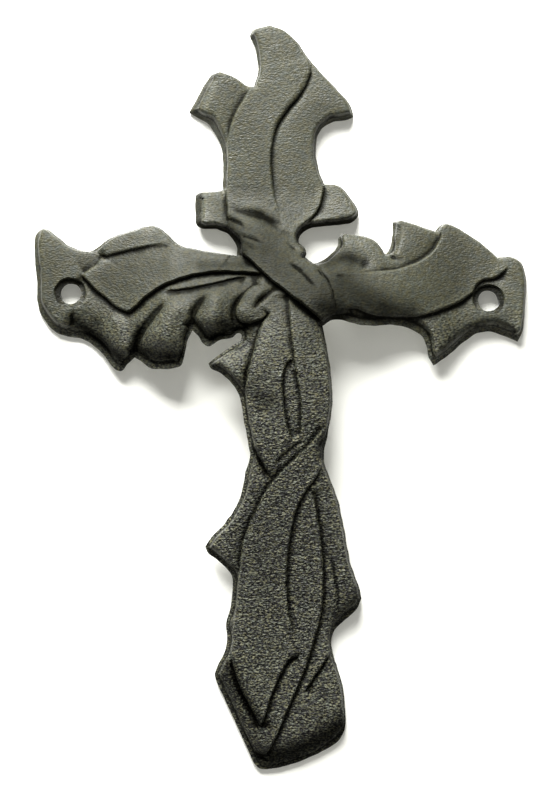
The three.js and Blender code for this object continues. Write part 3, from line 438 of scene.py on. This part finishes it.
def smooth_line(points, step):
    """A centripetal Catmull-Rom curve through the points, as points about one step apart."""
    p = np.array(points, float)
    p = np.vstack([2 * p[0] - p[1], p, 2 * p[-1] - p[-2]])
    gap = np.linalg.norm(np.diff(p, axis=0), axis=1) ** 0.5
    t = np.linspace(0, 1, CURVE_SAMPLES, endpoint=False)[:, None]
    dense = []
    for i in range(1, len(p) - 2):
        before, span, after = gap[i - 1], gap[i], gap[i + 1]
        chord = (p[i + 1] - p[i]) / span
        leave = span * ((p[i] - p[i - 1]) / before - (p[i + 1] - p[i - 1]) / (before + span) + chord)
        arrive = span * (chord - (p[i + 2] - p[i]) / (span + after) + (p[i + 2] - p[i + 1]) / after)
        rise = p[i + 1] - p[i]
        dense.append(
            p[i] + leave * t + (3 * rise - 2 * leave - arrive) * t**2 + (leave + arrive - 2 * rise) * t**3
        )
    dense = np.vstack([*dense, p[-2]])
    length = np.concatenate([[0], np.cumsum(np.linalg.norm(np.diff(dense, axis=0), axis=1))])
    even = np.linspace(0, length[-1], max(1, round(length[-1] / step)) + 1)
    return np.column_stack([np.interp(even, length, dense[:, k]) for k in (0, 1)])


def closed_silhouette(step):
    """The drawn silhouette as one ring of points, its first point not repeated."""
    stretches = [
        smooth_line(stretch + [after[0]], step)[:-1]
        for stretch, after in zip(SILHOUETTE, SILHOUETTE[1:] + SILHOUETTE[:1])
    ]
    return np.vstack(stretches)


DRAWN = closed_silhouette(OUTLINE_STEP)
DRAWN_LOW = DRAWN.min(axis=0)
DRAWN_SIZE = DRAWN.max(axis=0) - DRAWN_LOW


def placed(points):
    """Drawn points, laid over the frame's own width and height."""
    size = np.array([HIGH[0] - LOW[0], HIGH[2] - LOW[2]])
    return np.array([LOW[0], LOW[2]]) + (np.array(points, float) - DRAWN_LOW) * size / DRAWN_SIZE


def carved_line(path):
    """The line that a carved feature follows, in its place on the cross."""
    return smooth_line(placed(path), LINE_STEP)


def nearest(line, at):
    """Distance of each point to the line, length along it, side (1 on its left) and segment."""
    distance = np.full(len(at), np.inf)
    along = np.zeros(len(at))
    side = np.ones(len(at))
    segment = np.zeros(len(at), int)
    start = 0.0
    for i, (a, b) in enumerate(zip(line[:-1], line[1:])):
        span = math.dist(a, b)
        tx, tz = (b - a) / span
        ox = at[:, 0] - a[0]
        oz = at[:, 1] - a[1]
        run = np.clip(ox * tx + oz * tz, 0, span)
        dx = ox - run * tx
        dz = oz - run * tz
        gap = np.hypot(dx, dz)
        closer = gap < distance
        distance[closer] = gap[closer]
        along[closer] = start + run[closer]
        side[closer] = np.where(dz * tx - dx * tz >= 0, 1, -1)[closer]
        segment[closer] = i
        start += span
    return distance, along, side, segment


def line_length(line):
    return np.linalg.norm(np.diff(line, axis=0), axis=1).sum()


def ramp(share):
    share = np.clip(share, 0, 1)
    return share * share * (3 - 2 * share)


def left_normals(line):
    run = np.diff(line, axis=0)
    run /= np.linalg.norm(run, axis=1)[:, None]
    return np.column_stack([-run[:, 1], run[:, 0]])


# The silhouette runs clockwise, so its left normals point outwards
OUTLINE = placed(DRAWN)
OUTLINE_LOOP = np.vstack([OUTLINE, OUTLINE[:1]])
OUTWARD = left_normals(OUTLINE_LOOP)


# Form of the casting


def tab_share(at, outward):
    """How far each point belongs to the plain facet on the left end of a left tab."""
    above = ramp((at[:, 1] - TAB_START) / TAB_BLEND)
    return above * ramp((-at[:, 0] - ARM_START) / ARM_BLEND) * np.maximum(0, -outward[:, 0]) ** 2


def wall_width(at, outward):
    """How far the edge's wall reaches in: least where it faces up, most under the arms and on the tabs."""
    left, down = np.maximum(0, -outward).T
    right = np.maximum(0, outward[:, 0])
    above = ramp((at[:, 1] - TAB_START) / TAB_BLEND)
    left_draft = WALL_DRAFT_LEFT * (1 - (1 - LEFT_SHARE_ABOVE) * above) * left
    arm_draft = WALL_DRAFT_ARMS * (1 - above) * ramp((np.abs(at[:, 0]) - ARM_START) / ARM_BLEND) * down
    tab_draft = WALL_DRAFT_TABS * tab_share(at, outward)
    plain_width = WALL_WIDTH + WALL_DRAFT_BELOW * down + WALL_DRAFT_RIGHT * right
    return plain_width + left_draft + arm_draft + tab_draft


def back_height(at):
    """Height of the back above the wall: nothing at the four pads, most just below the crossing."""
    reach_z = np.where(at[:, 1] > BOW_Z, TOP_Z - TOP_PAD - BOW_Z, BOW_Z - FOOT_Z - FOOT_PAD)
    share_x = np.minimum(1, np.abs(at[:, 0]) / (HOLE_X - HOLE_PAD))
    share_z = np.minimum(1, np.abs(at[:, 1] - BOW_Z) / reach_z)
    return BOW * (1 - share_x**3) ** 2 * (1 - share_z**2) ** 2


def edge_height(at, rise, drop, fade, path):
    """One leaf edge: raised on its high side, cut down on its low side."""
    line = carved_line(path)
    distance, along, side, _ = nearest(line, at)
    strength = np.ones(len(at))
    if fade[0]:
        strength *= ramp(along / fade[0])
    if fade[1]:
        strength *= ramp((line_length(line) - along) / fade[1])
    across = side * distance
    blend = ramp((across + STEP_HALF_WIDTH) / (2 * STEP_HALF_WIDTH))
    high = rise * np.exp(-np.maximum(0, across) / HIGH_SIDE_REACH)
    low = -drop * np.exp(np.minimum(0, across) / LOW_SIDE_REACH)
    return strength * (blend * high + (1 - blend) * low)


def groove_height(at, depth, width, path):
    line = carved_line(path)
    distance, along, _, _ = nearest(line, at)
    deep = np.interp(along / line_length(line), np.linspace(0, 1, len(depth)), depth)
    return -deep * np.exp(-((distance / (width * GROOVE_WIDTH)) ** 2))


def swell_height(at, height, width, path):
    distance = nearest(carved_line(path), at)[0]
    return height * np.exp(-((distance / width) ** 2))


def painted_light_and_dirt(at):
    """How far painted shade and dirt darken the iron and painted highlights lighten it, as a share of its
    colour.
    """
    left = np.ones(len(at))
    for patch in LIGHT_AND_DIRT_PATCHES:
        distance = nearest(carved_line(patch["path"]), at)[0]
        left *= 1 - (1 - patch["shade"]) * np.exp(-((distance / patch["width"]) ** 2))
    return left


def thickness(at):
    """Thickness from the back to the carved front."""
    from_edge, _, _, segment = nearest(OUTLINE_LOOP, at)
    wall = wall_width(at, OUTWARD[segment])
    face = FACE_THICKNESS + CROWN * (1 - np.exp(-from_edge / CROWN_REACH))
    face += sum(edge_height(at, **edge) for edge in EDGES)
    face += sum(groove_height(at, **groove) for groove in GROOVES)
    face += sum(swell_height(at, **swell) for swell in SWELLS)
    from_centre = np.hypot(np.abs(at[:, 0]) - HOLE_X, at[:, 1])
    dish = DISH_DEPTH + DISH_TILT * at[:, 1] / from_centre
    face -= dish * np.clip((HOLE_RADIUS + DISH_WIDTH - from_centre) / DISH_WALL, 0, 1)
    face = np.maximum(face, LEAST_THICKNESS)
    wall_top = face - ROUNDING_DROP
    share = from_edge / wall
    lip_rise = LIP_RISE + (LIP_SHARE - LIP_RISE) * tab_share(at, OUTWARD[segment])
    on_lip = lip_rise * share / LIP_SHARE
    above_lip = lip_rise + (1 - lip_rise) * (share - LIP_SHARE) / (1 - LIP_SHARE)
    climbed = np.where(share < LIP_SHARE, on_lip, above_lip)
    on_wall = EDGE_THICKNESS + (wall_top - EDGE_THICKNESS) * climbed
    on_face = face - ROUNDING_DROP * (1 - np.clip((from_edge - wall) / ROUNDING_WIDTH, 0, 1)) ** 2
    return np.where(from_edge < wall, on_wall, on_face)


def sand_grain(at, depth):
    """Grain of the sand mould, always cut into the surface."""
    lumps = np.array([noise.noise(Vector((x, z, 0)) / GRAIN_SIZE) for x, z in at])
    fine = np.array([noise.noise(Vector((x, z, 9)) / FINE_GRAIN_SIZE) for x, z in at])
    return depth * (np.clip(lumps + FINE_GRAIN_SHARE * fine, -1, 1) - 1) / 2


def wavered(at):
    """The points moved a little sideways, so that edges and creases waver as cast ones do."""
    moves = [
        [noise.noise(Vector((x, z, layer)) / WAVER_SIZE) for x, z in at] for layer in WAVER_LAYERS
    ]
    return at + WAVER * np.array(moves).T


# Triangulation


def inside(ring, at):
    """Which points lie inside the ring."""
    within = np.zeros(len(at), bool)
    x, z = at[:, 0], at[:, 1]
    for (ax, az), (bx, bz) in zip(ring, np.roll(ring, -1, axis=0)):
        if az != bz:
            within ^= ((az > z) != (bz > z)) & (x < (bx - ax) * (z - az) / (bz - az) + ax)
    return within


def hole_ring(centre, radius):
    turn = np.linspace(0, 2 * math.pi, HOLE_SIDES, endpoint=False)
    return np.column_stack([centre + radius * np.cos(turn), radius * np.sin(turn)])


RINGS = [OUTLINE, hole_ring(-HOLE_X, HOLE_RADIUS), hole_ring(HOLE_X, HOLE_RADIUS)]


def grid(step):
    """A staggered grid over the whole cross."""
    row_height = step * math.sqrt(3) / 2
    rows = np.arange(FOOT_Z, TOP_Z, row_height)
    columns = np.arange(LOW[0], HIGH[0], step)
    shifts = np.arange(len(rows)) % 2 * step / 2
    across = columns + shifts[:, None]
    up = np.repeat(rows, len(columns))
    return np.column_stack([across.ravel(), up])


def edge_rows():
    """Rows of points that follow the silhouette up the wall and over the rounding."""
    middle = (OUTLINE_LOOP[:-1] + OUTLINE_LOOP[1:]) / 2
    wall = wall_width(middle, OUTWARD)
    offsets = [wall * share for share in WALL_ROWS]
    offsets += [wall + ROUNDING_WIDTH * share for share in ROUNDING_ROWS]
    rows = []
    for offset in offsets:
        row = middle - OUTWARD * offset[:, None]
        clear = nearest(OUTLINE_LOOP, row)[0] > ROW_KEPT * np.linalg.norm(row - middle, axis=1)
        rows.append(row[clear])
    return rows


def crease_rows():
    """Rows of points on both sides of each leaf edge."""
    rows = []
    for edge in EDGES:
        line = smooth_line(placed(edge["path"]), CREASE_STEP)
        middle = (line[:-1] + line[1:]) / 2
        normal = left_normals(line)
        rows += [middle + normal * offset * way for offset in CREASE_ROWS for way in (1, -1)]
    return rows


def spread(batches):
    """Thins batches of points: each point keeps its batch's gap from every point kept before it."""
    cell = max(gap for _, gap in batches)
    cells = {}
    kept = []
    for batch, gap in batches:
        for x, z in batch:
            i, j = math.floor(x / cell), math.floor(z / cell)
            near = (p for a in (-1, 0, 1) for b in (-1, 0, 1) for p in cells.get((i + a, j + b), ()))
            if all((x - px) ** 2 + (z - pz) ** 2 >= gap * gap for px, pz in near):
                cells.setdefault((i, j), []).append((x, z))
                kept.append((x, z))
    return np.array(kept)


def on_metal(at, margin):
    """Which points lie on the metal, at least a margin from the silhouette and the holes."""
    from_edge = nearest(OUTLINE_LOOP, at)[0]
    from_hole = np.hypot(np.abs(at[:, 0]) - HOLE_X, at[:, 1]) - HOLE_RADIUS
    return inside(OUTLINE, at) & (from_edge >= margin) & (from_hole >= margin)


def front_points():
    """The rings' points, then rows along the edges and creases, then a grid over the rest."""
    rings = np.vstack(RINGS)
    widths = (DISH_WIDTH - DISH_WALL, DISH_WIDTH)
    dishes = [hole_ring(x, HOLE_RADIUS + width) for x in (-HOLE_X, HOLE_X) for width in widths]
    rows = np.vstack([*dishes, *edge_rows(), *crease_rows()])
    rows = rows[on_metal(rows, ROW_GAP)]
    field = grid(FRONT_GRID)
    field = field[on_metal(field, FRONT_GAP)]
    return spread([(rings, 0), (rows, ROW_GAP), (field, FRONT_GAP)])


def back_points():
    field = grid(BACK_GRID)
    return spread([(np.vstack(RINGS), 0), (field[on_metal(field, BACK_GAP)], BACK_GAP)])


def triangles(points):
    """Triangles between the points, inside the silhouette and outside the holes, counter-clockwise."""
    edges = []
    start = 0
    for ring in RINGS:
        edges += [(start + i, start + (i + 1) % len(ring)) for i in range(len(ring))]
        start += len(ring)
    flat = [Vector(p) for p in points]
    corners, _, faces, *_ = delaunay_2d_cdt(flat, edges, [], INSIDE_ONLY, MERGE_DISTANCE)
    if len(corners) != len(points):
        raise ValueError("two points of the mesh coincide")
    faces = np.array(faces)
    a, b, c = (points[faces[:, k]] for k in range(3))
    middle = (a + b + c) / 3
    flats = HOLE_RADIUS * math.cos(math.pi / HOLE_SIDES)
    in_hole = np.hypot(np.abs(middle[:, 0]) - HOLE_X, middle[:, 1]) < flats
    turn = (b[:, 0] - a[:, 0]) * (c[:, 1] - a[:, 1]) - (b[:, 1] - a[:, 1]) * (c[:, 0] - a[:, 0])
    faces[turn < 0] = faces[turn < 0][:, ::-1]
    return faces[~in_hole]


def edge_walls(back_start):
    """The narrow walls between the front's rings, which come first, and the back's."""
    quads = []
    start = 0
    for ring, is_outer in zip(RINGS, (True, False, False)):
        ahead = np.roll(ring, -1, axis=0)
        clockwise = np.sum(ring[:, 0] * ahead[:, 1] - ahead[:, 0] * ring[:, 1]) < 0
        for i in range(len(ring)):
            here, there = start + i, start + (i + 1) % len(ring)
            if clockwise == is_outer:
                here, there = there, here
            quads.append((here, back_start + here, back_start + there, there))
        start += len(ring)
    return quads


def lip(at):
    """Which points lie on the lip."""
    from_edge, _, _, segment = nearest(OUTLINE_LOOP, at)
    return from_edge < LIP_SHARE * wall_width(at, OUTWARD[segment])


def relief(height, edges):
    """How far each point stands out of the surface around it, from -1 in creases to 1 on ridges."""
    smooth = height.copy()
    count = np.bincount(edges.ravel(), minlength=len(height))
    for _ in range(RELIEF_ROUNDS):
        total = np.bincount(edges[:, 0], smooth[edges[:, 1]], len(height))
        total += np.bincount(edges[:, 1], smooth[edges[:, 0]], len(height))
        smooth = np.where(count > 0, total / np.maximum(count, 1), smooth)
    return np.clip((height - smooth) / RELIEF_FULL, -1, 1)


def store(mesh, name, values):
    """Keeps a value on each point of the mesh, for its material."""
    mesh.attributes.new(name, "FLOAT", "POINT").data.foreach_set("value", values)


def cast_cross():
    """The whole casting as one closed mesh, with its relief, painted shade, dirt and painted highlights
    kept for the material.
    """
    front, back = front_points(), back_points()
    fine_z, coarse_z = GRAIN_TURNS_COARSE
    coarse = ramp((front[:, 1] - fine_z) / (coarse_z - fine_z))
    grain_depth = GRAIN_DEPTH_TOP + (GRAIN_DEPTH_FOOT - GRAIN_DEPTH_TOP) * coarse
    front_height = back_height(front) + thickness(front)
    carved = front_height + sand_grain(front, grain_depth)
    plain = back_height(back) - sand_grain(back, GRAIN_DEPTH_BACK)
    front_faces, back_faces = triangles(front), triangles(back)
    points = np.clip(wavered(np.vstack([front, back])), LOW[[0, 2]], HIGH[[0, 2]])
    height = np.minimum(np.concatenate([carved, plain]), -LOW[1])
    corners = np.column_stack([points[:, 0], -height, points[:, 1]]) * MM
    turned = back_faces[:, ::-1] + len(front)
    faces = [*front_faces.tolist(), *turned.tolist(), *edge_walls(len(front))]
    mesh = bpy.data.meshes.new("cast_cross")
    mesh.from_pydata(corners.tolist(), [], faces)
    mesh.shade_smooth()
    mesh.set_sharp_from_angle(angle=SHARP_ANGLE)
    edges = np.vstack([front_faces[:, [0, 1]], front_faces[:, [1, 2]], front_faces[:, [2, 0]]])
    stands_out = np.where(lip(front), LIP_RELIEF, relief(carved, edges))
    store(mesh, "relief", np.concatenate([stands_out, np.zeros(len(back))]))
    # Painted shade and painted highlights, with some dirt, kept as a share of the iron's colour
    store(mesh, "light_and_dirt", np.concatenate([painted_light_and_dirt(front), np.ones(len(back))]))
    cross = bpy.data.objects.new("cast_cross", mesh)
    bpy.context.scene.collection.objects.link(cross)
    return cross


# Materials


def new_material(name):
    material = bpy.data.materials.new(name)
    material.use_nodes = True
    return material, material.node_tree, material.node_tree.nodes["Principled BSDF"]


def add_noise(tree, coordinates, size, detail):
    """A noise whose features are about the given size in metres."""
    node = tree.nodes.new("ShaderNodeTexNoise")
    node.inputs["Scale"].default_value = 1 / size
    node.inputs["Detail"].default_value = detail
    tree.links.new(coordinates, node.inputs["Vector"])
    return node.outputs["Fac"]


def attribute(tree, name):
    """A value that the mesh keeps on each point."""
    node = tree.nodes.new("ShaderNodeAttribute")
    node.attribute_name = name
    return node.outputs["Fac"]


def remap(tree, value, source, target):
    """The value stretched from one range over another, and held within it."""
    node = tree.nodes.new("ShaderNodeMapRange")
    for socket, number in zip(("From Min", "From Max", "To Min", "To Max"), (*source, *target)):
        node.inputs[socket].default_value = number
    tree.links.new(value, node.inputs["Value"])
    return node.outputs["Result"]


def combine(tree, operation, a, b):
    node = tree.nodes.new("ShaderNodeMath")
    node.operation = operation
    for socket, value in zip(node.inputs, (a, b)):
        if isinstance(value, (int, float)):
            socket.default_value = value
        else:
            tree.links.new(value, socket)
    return node.outputs["Value"]


def product(tree, value, *factors):
    for factor in factors:
        value = combine(tree, "MULTIPLY", value, factor)
    return value


def down_the_stem(tree, height, ends):
    """A value that goes from one end to the other where the grain turns coarse."""
    return remap(tree, height, [limit * MM for limit in GRAIN_TURNS_COARSE], ends)


def shade_highlight_and_wear(tree):
    """Painted highlights and wear on ridges, painted shade and dirt in creases, and the patches of painted
    shade, dirt and painted highlights.
    """
    stands_out = attribute(tree, "relief")
    ridge_highlight_and_wear = remap(tree, stands_out, (0, 1), (1, RIDGE_SHADE))
    crease_shade_and_dirt = remap(tree, stands_out, (-1, 0), (CREASE_SHADE, 1))
    return product(tree, ridge_highlight_and_wear, crease_shade_and_dirt, attribute(tree, "light_and_dirt"))


def specks(tree, squashed, height):
    """Dark and light specks of the sand grain."""
    speck = remap(tree, add_noise(tree, squashed, SPECK_SIZE, 1), NOISE_NARROW, (-1, 1))
    speck = product(tree, speck, down_the_stem(tree, height, SPECK))
    return combine(tree, "MAXIMUM", combine(tree, "ADD", speck, 1), SPECK_LEAST)


def iron_colour(tree, place, shade):
    """Cool and warm patches of iron, darkened or lightened by the shade."""
    warmth = tree.nodes.new("ShaderNodeMix")
    warmth.data_type = "RGBA"
    warmth.inputs["A"].default_value = IRON_COOL
    warmth.inputs["B"].default_value = IRON_WARM
    patches = remap(tree, add_noise(tree, place, TINT_SIZE, 3), NOISE_NARROW, (0, 1))
    tree.links.new(patches, warmth.inputs["Factor"])
    colour = tree.nodes.new("ShaderNodeMix")
    colour.data_type = "RGBA"
    colour.clamp_factor = False
    colour.inputs["A"].default_value = BLACK
    tree.links.new(warmth.outputs["Result"], colour.inputs["B"])
    tree.links.new(shade, colour.inputs["Factor"])
    return colour.outputs["Result"]


def grain_bump(tree, squashed, height):
    """Bumps too fine for the mesh: coarse ones down the stem and fine ones all over."""
    coarse = add_noise(tree, squashed, COARSE_BUMP_SIZE, 2)
    coarse = product(tree, coarse, down_the_stem(tree, height, COARSE_BUMP))
    fine = product(tree, add_noise(tree, squashed, FINE_BUMP_SIZE, 1), FINE_BUMP)
    bump = tree.nodes.new("ShaderNodeBump")
    bump.inputs["Strength"].default_value = BUMP_STRENGTH
    bump.inputs["Distance"].default_value = BUMP_DEPTH
    tree.links.new(combine(tree, "ADD", coarse, fine), bump.inputs["Height"])
    return bump.outputs["Normal"]


def cast_iron():
    """Dark olive-grey iron with sand grain, painted shade and dirt in its creases, painted highlights and
    wear on its ridges, and painted shade towards the foot.
    """
    material, tree, shader = new_material("cast_iron")
    place = tree.nodes.new("ShaderNodeTexCoord").outputs["Object"]
    squash = tree.nodes.new("ShaderNodeMapping")
    squash.inputs["Scale"].default_value = GRAIN_SQUASH
    tree.links.new(place, squash.inputs["Vector"])
    squashed = squash.outputs["Vector"]
    split = tree.nodes.new("ShaderNodeSeparateXYZ")
    tree.links.new(place, split.inputs["Vector"])
    height = split.outputs["Z"]

    # Painted shade and dirt in creases, painted highlights and wear on ridges, and the patches
    shade_and_wear = shade_highlight_and_wear(tree)
    cloud = remap(tree, add_noise(tree, place, CLOUD_SIZE, 3), NOISE_WIDE, CLOUD_SHADE)
    # Painted shade, darker towards the foot
    foot = remap(tree, height, FOOT_DARKENS, (FOOT_SHADE, 1))
    shade = product(tree, shade_and_wear, cloud, specks(tree, squashed, height), foot)
    rough = remap(tree, add_noise(tree, place, GLOSS_PATCH_SIZE, 4), NOISE_WIDE, IRON_ROUGHNESS)
    # Rougher in the patches of painted shade and dirt, which dims their sheen as well
    dulled = remap(tree, attribute(tree, "light_and_dirt"), (0, 1), (DARK_PATCH_ROUGHNESS, 0))

    tree.links.new(iron_colour(tree, place, shade), shader.inputs["Base Color"])
    # The painted shade and highlights darken and lighten the gloss too
    tree.links.new(product(tree, shade_and_wear, IRON_SPECULAR), shader.inputs["Specular IOR Level"])
    tree.links.new(combine(tree, "ADD", rough, dulled), shader.inputs["Roughness"])
    tree.links.new(grain_bump(tree, squashed, height), shader.inputs["Normal"])
    return material


def plain_finish(name, colour, roughness):
    material, _, shader = new_material(name)
    shader.inputs["Base Color"].default_value = colour
    shader.inputs["Roughness"].default_value = roughness
    return material


def wall_finish():
    """Matt white and faintly glowing, which lightens the shadows cast on it, and open to view from behind,
    so that the wall doesn't hide the cross's back.
    """
    material = plain_finish("wall", WALL_COLOUR, WALL_ROUGHNESS)
    nodes, links = material.node_tree.nodes, material.node_tree.links
    shader = nodes["Principled BSDF"]
    # Painted light: a faint glow that lightens the shadows on the wall
    shader.inputs["Emission Color"].default_value = WALL_COLOUR
    shader.inputs["Emission Strength"].default_value = WALL_GLOW
    mix = nodes.new("ShaderNodeMixShader")
    links.new(nodes.new("ShaderNodeNewGeometry").outputs["Backfacing"], mix.inputs["Fac"])
    links.new(shader.outputs["BSDF"], mix.inputs[1])
    links.new(nodes.new("ShaderNodeBsdfTransparent").outputs["BSDF"], mix.inputs[2])
    links.new(mix.outputs["Shader"], nodes["Material Output"].inputs["Surface"])
    return material


# Stage, lights and camera


def sheet_object(name, corners, material):
    mesh = bpy.data.meshes.new(name)
    mesh.from_pydata(corners, [], [(0, 1, 2, 3)])
    mesh.materials.append(material)
    sheet = bpy.data.objects.new(name, mesh)
    bpy.context.scene.collection.objects.link(sheet)
    return sheet


def add_stage():
    """A white wall that the cross hangs on, and a pale floor at its foot."""
    half, y, low, top = WALL_HALF_WIDTH, WALL_GAP, FLOOR_Z, WALL_TOP
    upright = [(-half, y, low), (half, y, low), (half, y, top), (-half, y, top)]
    wall = sheet_object("wall", upright, wall_finish())
    wall.visible_shadow = False
    level = [(-half, -half, low), (half, -half, low), (half, half, low), (-half, half, low)]
    sheet_object("floor", level, plain_finish("floor", FLOOR_COLOUR, FLOOR_ROUGHNESS))


def area_light(name, position, size, watts):
    light = bpy.data.lights.new(name, "AREA")
    light.shape = "RECTANGLE"
    light.size, light.size_y = size
    light.energy = watts
    lamp = bpy.data.objects.new(name, light)
    lamp.location = position
    lamp.rotation_euler = (Vector(AIM) - Vector(position)).to_track_quat("-Z", "Y").to_euler()
    bpy.context.scene.collection.objects.link(lamp)


def add_lights():
    area_light("key", KEY_PLACE, KEY_SIZE, KEY_WATTS)
    area_light("fill", FILL_PLACE, FILL_SIZE, FILL_WATTS)
    area_light("behind", BEHIND_PLACE, BEHIND_SIZE, BEHIND_WATTS)
    world = bpy.data.worlds.new("studio")
    world.use_nodes = True
    world.node_tree.nodes["Background"].inputs["Color"].default_value = WORLD_COLOUR
    world.node_tree.nodes["Background"].inputs["Strength"].default_value = WORLD_STRENGTH
    bpy.context.scene.world = world
    bpy.context.scene.view_settings.view_transform = "Standard"


def add_camera():
    """Straight in front of the photograph's middle, rolled by the angle at which the cross hangs in it."""
    camera = bpy.data.cameras.new("camera")
    camera.sensor_width = SENSOR
    camera.lens = SENSOR * CAMERA_DISTANCE / VIEW_HEIGHT
    eye = bpy.data.objects.new("camera", camera)
    eye.location = (VIEW_X, -CAMERA_DISTANCE, VIEW_Z)
    eye.rotation_euler = (math.pi / 2, -CAMERA_ROLL, 0)
    bpy.context.scene.collection.objects.link(eye)
    bpy.context.scene.camera = eye


iron = cast_iron()
cross = cast_cross()
cross.data.materials.append(iron)
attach(cross, "root")
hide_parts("cross")
add_stage()
add_lights()
add_camera()
